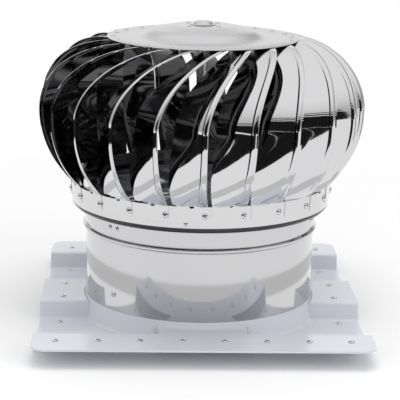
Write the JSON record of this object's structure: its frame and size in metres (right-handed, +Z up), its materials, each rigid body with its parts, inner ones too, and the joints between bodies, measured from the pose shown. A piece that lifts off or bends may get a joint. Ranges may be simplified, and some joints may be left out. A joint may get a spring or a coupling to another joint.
{
  "type": "roof turbine ventilator",
  "caption": "Wind-driven roof ventilator: a crown of curved steel vanes turns on a fixed shaft above a round throat and a ribbed moulded roof flashing",
  "frame": {"origin": "on the turbine's axis, level with the underside of the flashing's pans", "axes": "+Z up along the shaft, X along the roof's ribs, Y across them"},
  "size_m": [0.5008, 0.5792, 0.4675],
  "materials": {
    "flashing_plastic": "glossy moulded, off white",
    "throat_steel": "satin stainless sheet",
    "ring_steel": "polished stainless sheet",
    "vane_steel": "mirror polished stainless sheet",
    "cap_steel": "satin stainless sheet",
    "zinc_steel": "zinc plated, satin",
    "bright_steel": "ground steel"
  },
  "bodies": {
    "base": {"flashing": "flashing_plastic", "throat_pipe": "throat_steel", "throat_band": "throat_steel", "fixed_spider": "zinc_steel", "shaft": "bright_steel", "shaft_hub": "zinc_steel", "shaft_collar": "zinc_steel", "lower_inner_race": "bright_steel", "upper_inner_race": "bright_steel", "top_nut": "zinc_steel", "lower_nut": "zinc_steel"},
    "rotor": {"rotor_ring": "ring_steel", "rotor_spider": "zinc_steel", "lower_housing": "zinc_steel", "lower_outer_race": "bright_steel", "upper_housing": "zinc_steel", "upper_outer_race": "bright_steel", "top_cap": "cap_steel", "knob": "cap_steel", "vane_01": "vane_steel", "vane_02": "vane_steel", "vane_03": "vane_steel", "vane_04": "vane_steel", "vane_05": "vane_steel", "vane_06": "vane_steel", "vane_07": "vane_steel", "vane_08": "vane_steel", "vane_09": "vane_steel", "vane_10": "vane_steel", "vane_11": "vane_steel", "vane_12": "vane_steel", "vane_13": "vane_steel", "vane_14": "vane_steel", "vane_15": "vane_steel", "vane_16": "vane_steel", "vane_17": "vane_steel", "vane_18": "vane_steel", "vane_19": "vane_steel", "vane_20": "vane_steel", "vane_21": "vane_steel", "vane_22": "vane_steel"}
  },
  "joints": [
    {"name": "rotor_spin", "type": "hinge", "parent": "base", "child": "rotor", "pos_m": [0, 0, 0.3], "axis": [0, 0, 1], "continuous": true}
  ]
}
